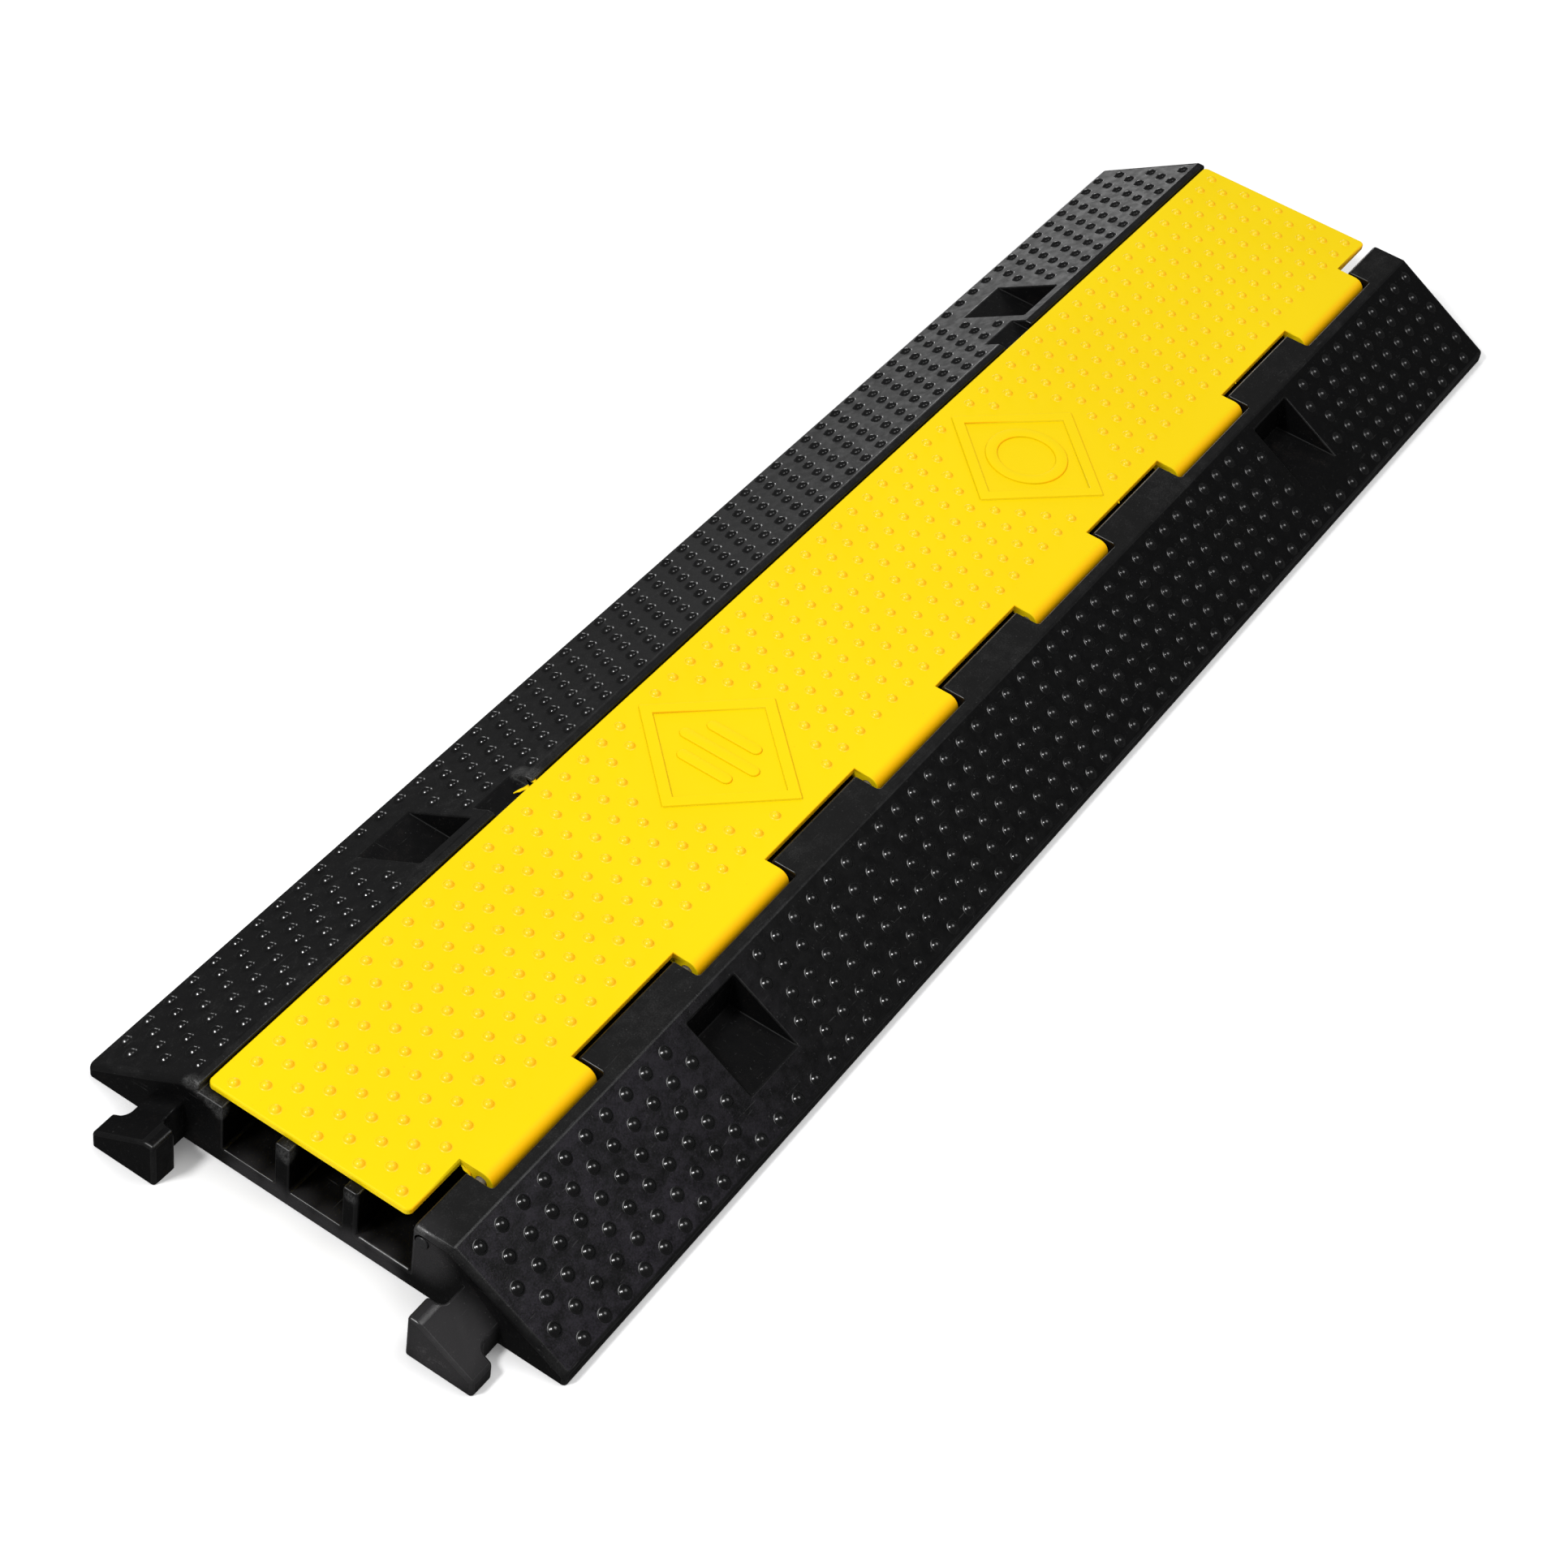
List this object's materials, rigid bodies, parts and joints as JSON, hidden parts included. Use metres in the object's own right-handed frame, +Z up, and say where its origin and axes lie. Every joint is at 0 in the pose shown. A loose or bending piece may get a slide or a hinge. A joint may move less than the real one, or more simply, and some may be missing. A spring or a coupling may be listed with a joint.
{
  "type": "cable protector ramp",
  "caption": "Low rubber ramp laid over the floor to guard cables: sloped sides, parallel cable channels, a hinged plastic lid over them and interlocking lugs at the ends.",
  "frame": {"origin": "on the floor in the middle of the ramp body, lugs not counted", "axes": "+X along the cables towards the end with the sockets (the lugs are on -X); +Y across, towards the side where the lid opens (the hinge is on -Y); +Z up"},
  "size_m": [1.0313, 0.285, 0.0469],
  "materials": {
    "base_rubber": "moulded black rubber, semi-gloss on the slopes, dusty on the level strips",
    "lid_plastic": "moulded bright yellow plastic",
    "rod_fibre": "grey-brown fibre rod",
    "plug_plastic": "dark moulded plastic"
  },
  "bodies": {
    "base": {"base": "base_rubber", "hinge_rod": "rod_fibre", "lug_end_plug": "plug_plastic", "socket_end_plug": "plug_plastic"},
    "lid": {"lid": "lid_plastic"}
  },
  "joints": [
    {"name": "lid_hinge", "type": "hinge", "parent": "base", "child": "lid", "pos_m": [0, -0.0585, 0.0385], "axis": [1, 0, 0], "range_deg": [0, 98]}
  ]
}
